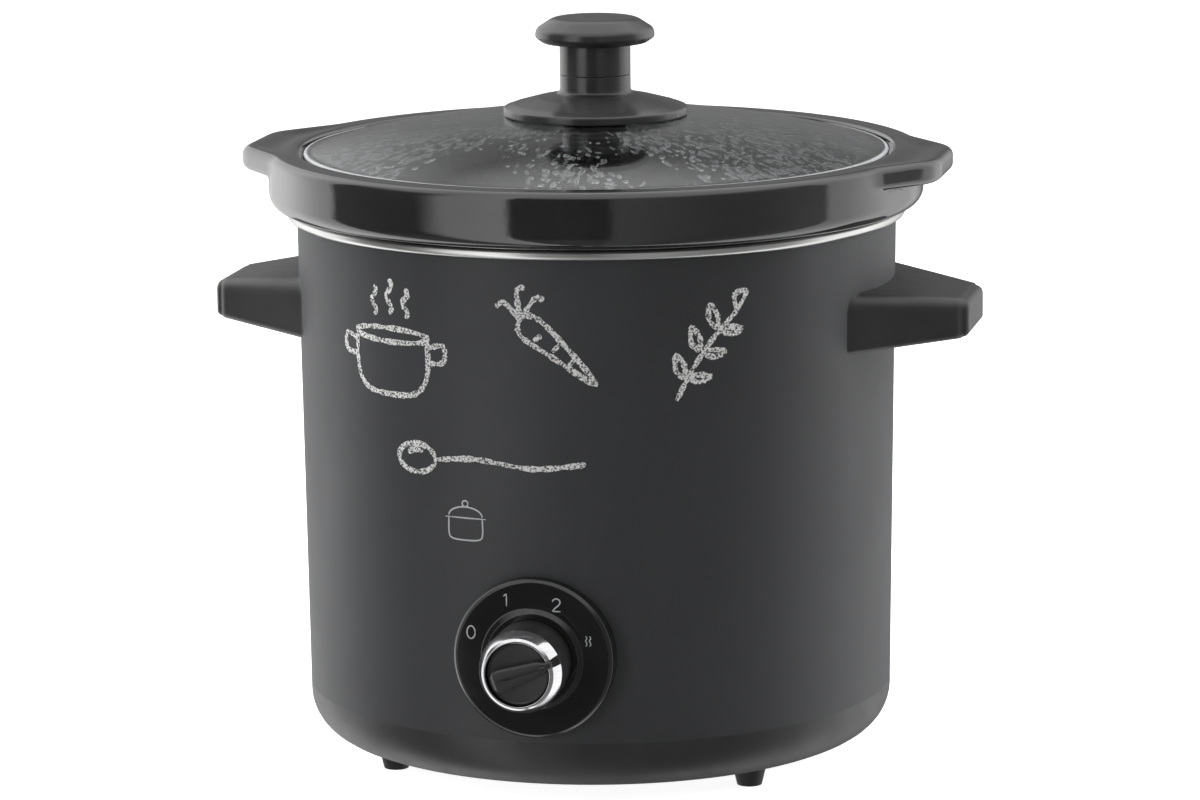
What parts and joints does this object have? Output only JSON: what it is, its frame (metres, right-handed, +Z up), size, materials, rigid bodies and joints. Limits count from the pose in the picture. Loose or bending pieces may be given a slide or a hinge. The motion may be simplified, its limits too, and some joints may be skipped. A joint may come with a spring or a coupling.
{
  "type": "slow cooker",
  "caption": "Round countertop slow cooker: steel body with two side handles, lift-out eared stoneware crock, domed glass lid with a mushroom knob, and a rotary heat control.",
  "frame": {"origin": "in the plane it stands on, under the middle of its bounding box; the cooker's upright axis is 0.0097 m behind it, at +Y", "axes": "+Z up, -Y towards the user (control face), +X and -X through the side handles"},
  "size_m": [0.296, 0.2714, 0.2859],
  "materials": {
    "base_plastic": "satin moulded, fine texture",
    "foot_rubber": "matt rubber",
    "shell_paint": "matt chalkboard paint",
    "well_steel": "aluminised steel, satin",
    "heater_mica": "mica laminate",
    "zinc_steel": "zinc plated",
    "shield_aluminium": "mill finish",
    "fuse_steel": "sleeved fuse",
    "contact_brass": "bright",
    "terminal_ceramic": "unglazed",
    "gland_plastic": "satin moulded",
    "lead_insulation": "silicone sleeve",
    "switch_plastic": "moulded",
    "bezel_gloss": "high gloss",
    "handle_plastic": "satin moulded",
    "dial_plastic": "satin moulded",
    "dial_chrome": "polished plating",
    "crock_glaze": "gloss black glaze",
    "lid_glass": "clear tempered",
    "knob_plastic": "satin moulded"
  },
  "bodies": {
    "housing": {"base": "base_plastic", "feet": "foot_rubber", "outer_shell": "shell_paint", "heating_well": "well_steel", "heater_band": "heater_mica", "band_bolts": "zinc_steel", "heat_shield": "shield_aluminium", "centre_stud": "zinc_steel", "shield_nut": "zinc_steel", "centre_washer": "zinc_steel", "centre_nut": "zinc_steel", "thermal_fuse": "fuse_steel", "fuse_strap": "zinc_steel", "earth_lug": "contact_brass", "earth_screw": "contact_brass", "terminal_block": "terminal_ceramic", "terminal_screws": "contact_brass", "cord_gland": "gland_plastic", "supply_leads": "lead_insulation", "switch_leads": "lead_insulation", "switch_body": "switch_plastic", "switch_cover": "switch_plastic", "switch_contacts": "contact_brass", "switch_nut": "zinc_steel", "bezel": "bezel_gloss", "handle_left": "handle_plastic", "handle_right": "handle_plastic", "handle_plates": "zinc_steel", "handle_screws": "zinc_steel"},
    "dial": {"switch_shaft": "zinc_steel", "switch_cam": "switch_plastic", "dial_knob": "dial_plastic", "dial_ring": "dial_chrome", "knob_clip": "zinc_steel"},
    "crock": {"crock": "crock_glaze"},
    "lid": {"lid_glass": "lid_glass", "lid_knob": "knob_plastic", "knob_base": "knob_plastic", "knob_insert": "contact_brass", "lid_retainer": "knob_plastic", "lid_screw": "zinc_steel"}
  },
  "joints": [
    {"name": "dial_turn", "type": "hinge", "parent": "housing", "child": "dial", "pos_m": [0, -0.10409, 0.0611], "axis": [0, -1, 0], "range_deg": [0, 138]},
    {"name": "crock_lift", "type": "slide", "parent": "housing", "child": "crock", "axis": [0, 0, 1], "range_m": [0, 0.16]},
    {"name": "lid_lift", "type": "slide", "parent": "crock", "child": "lid", "axis": [0, 0, 1], "range_m": [0, 0.1]}
  ]
}
